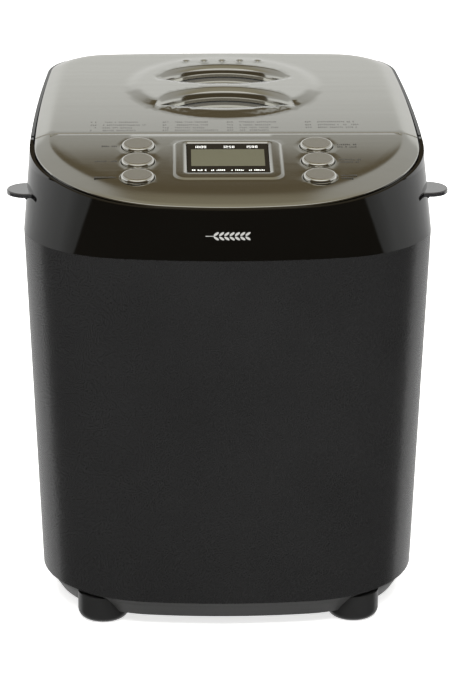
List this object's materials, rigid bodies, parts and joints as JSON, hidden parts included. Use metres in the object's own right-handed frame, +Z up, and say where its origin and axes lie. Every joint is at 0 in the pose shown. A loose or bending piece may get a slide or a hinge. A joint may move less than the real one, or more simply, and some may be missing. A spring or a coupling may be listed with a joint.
{
  "type": "bread machine",
  "caption": "Tall tapered bread machine with a sloping silver top, hinged windowed lid, round keys, display, baking chamber, pan, paddle and belt drive.",
  "frame": {"origin": "middle of the body's plan at the surface that the feet stand on", "axes": "+Z up, -Y towards the user (front), +X to the user's right"},
  "size_m": [0.2964, 0.3328, 0.3288],
  "materials": {
    "silver_plate": "fine brushed satin",
    "gloss_black": "high gloss",
    "body_grey": "semi-gloss dark grey",
    "base_grey": "satin",
    "foot_rubber": "matte",
    "grip_plastic": "gloss",
    "black_plastic": "satin",
    "chrome_key": "spun polished",
    "chrome_trim": "polished",
    "lens": "clear",
    "lcd_panel": "display grey-green",
    "board_green": "solder mask",
    "switch_black": "matte",
    "screw_steel": "zinc plated",
    "window_glass": "tinted heat-proof",
    "seal_black": "silicone",
    "seal_grey": "silicone",
    "liner_metal": "satin",
    "hinge_steel": "satin",
    "chamber_sheet": "galvanised satin",
    "element_metal": "heat darkened",
    "bushing_ceramic": "matte",
    "sensor_metal": "polished",
    "socket_metal": "cast",
    "chassis_metal": "zinc plated",
    "bearing_bronze": "sintered",
    "shaft_steel": "ground",
    "pulley_alloy": "cast",
    "belt_rubber": "matte",
    "core_steel": "laminated",
    "winding_copper": "enamelled copper",
    "wire_sleeve": "sleeve",
    "pan_coating": "non-stick",
    "bail_steel": "bright",
    "paddle_coating": "non-stick"
  },
  "bodies": {
    "housing": {"base_tray": "base_grey", "rubber_feet": "foot_rubber", "lower_shell": "body_grey", "upper_collar": "gloss_black", "side_grip_left": "grip_plastic", "side_grip_right": "grip_plastic", "top_deck": "black_plastic", "cord_gland": "seal_black", "control_panel": "silver_plate", "lcd_frame": "silver_plate", "lcd_lens": "lens", "lcd_module": "lcd_panel", "control_pcb": "board_green", "tact_switches": "switch_black", "panel_screws": "screw_steel", "hinge_brackets": "hinge_steel", "baking_chamber": "chamber_sheet", "heating_element": "element_metal", "element_bushings": "bushing_ceramic", "temperature_sensors": "sensor_metal", "pan_socket": "socket_metal", "heat_shield": "chamber_sheet", "chassis_plate": "chassis_metal", "housing_screws": "screw_steel", "drive_bearing": "bearing_bronze", "drive_belt": "belt_rubber", "motor_stator": "core_steel", "motor_windings": "winding_copper", "motor_brackets": "chassis_metal", "motor_mounts": "seal_black", "power_pcb": "board_green", "transformer": "core_steel", "motor_capacitor": "black_plastic", "wiring_harness": "wire_sleeve"},
    "lid": {"lid_skin": "silver_plate", "window_trims": "chrome_trim", "window_gaskets": "seal_black", "window_glass": "window_glass", "lid_frame": "gloss_black", "lid_liner": "liner_metal", "lid_seal": "seal_grey", "lid_screws": "screw_steel", "hinge_pins": "hinge_steel"},
    "drive": {"drive_shaft": "shaft_steel", "drive_pulley": "pulley_alloy", "drive_coupling": "socket_metal"},
    "rotor": {"motor_rotor": "shaft_steel", "motor_pulley": "pulley_alloy"},
    "pan": {"bread_pan": "pan_coating", "pan_bushing": "bearing_bronze"},
    "bail": {"pan_handle": "bail_steel"},
    "pan_drive": {"pan_shaft": "shaft_steel", "wing_coupling": "socket_metal"},
    "paddle": {"kneading_paddle": "paddle_coating"},
    "key_left_1": {"button_left_1": "chrome_key"},
    "key_left_2": {"button_left_2": "chrome_key"},
    "key_left_3": {"button_left_3": "chrome_key"},
    "key_right_1": {"button_right_1": "chrome_key"},
    "key_right_2": {"button_right_2": "chrome_key"},
    "key_right_3": {"button_right_3": "chrome_key"}
  },
  "joints": [
    {"name": "lid_hinge", "type": "hinge", "parent": "housing", "child": "lid", "pos_m": [0, 0.1584, 0.321], "axis": [-1, 0, 0], "range_deg": [0, 75]},
    {"name": "drive_spin", "type": "hinge", "parent": "housing", "child": "drive", "pos_m": [0, 0.068, 0.045], "axis": [0, 0, 1], "continuous": true},
    {"name": "motor_spin", "type": "hinge", "parent": "housing", "child": "rotor", "pos_m": [0, -0.078, 0.045], "axis": [0, 0, 1], "continuous": true},
    {"name": "pan_lift", "type": "slide", "parent": "housing", "child": "pan", "axis": [0, 0, 1], "range_m": [0, 0.03]},
    {"name": "bail_swing", "type": "hinge", "parent": "pan", "child": "bail", "pos_m": [0, 0.068, 0.242], "axis": [1, 0, 0], "range_deg": [0, 180]},
    {"name": "paddle_spin", "type": "hinge", "parent": "pan", "child": "pan_drive", "pos_m": [0, 0.068, 0.1], "axis": [0, 0, 1], "continuous": true},
    {"name": "paddle_lift", "type": "slide", "parent": "pan_drive", "child": "paddle", "axis": [0, 0, 1], "range_m": [0, 0.02]},
    {"name": "button_left_1_press", "type": "slide", "parent": "housing", "child": "key_left_1", "axis": [0, 0.157, -0.9876], "range_m": [0, 0.001], "stiffness_N_per_m": 1000, "springref_m": -0.0006},
    {"name": "button_left_2_press", "type": "slide", "parent": "housing", "child": "key_left_2", "axis": [0, 0.157, -0.9876], "range_m": [0, 0.001], "stiffness_N_per_m": 1000, "springref_m": -0.0006},
    {"name": "button_left_3_press", "type": "slide", "parent": "housing", "child": "key_left_3", "axis": [0, 0.157, -0.9876], "range_m": [0, 0.001], "stiffness_N_per_m": 1000, "springref_m": -0.0006},
    {"name": "button_right_1_press", "type": "slide", "parent": "housing", "child": "key_right_1", "axis": [0, 0.157, -0.9876], "range_m": [0, 0.001], "stiffness_N_per_m": 1000, "springref_m": -0.0006},
    {"name": "button_right_2_press", "type": "slide", "parent": "housing", "child": "key_right_2", "axis": [0, 0.157, -0.9876], "range_m": [0, 0.001], "stiffness_N_per_m": 1000, "springref_m": -0.0006},
    {"name": "button_right_3_press", "type": "slide", "parent": "housing", "child": "key_right_3", "axis": [0, 0.157, -0.9876], "range_m": [0, 0.001], "stiffness_N_per_m": 1000, "springref_m": -0.0006}
  ],
  "couplings": [
    {"joint": "motor_spin", "follows": "drive_spin", "ratio": 5},
    {"joint": "paddle_spin", "follows": "drive_spin", "ratio": 1}
  ]
}
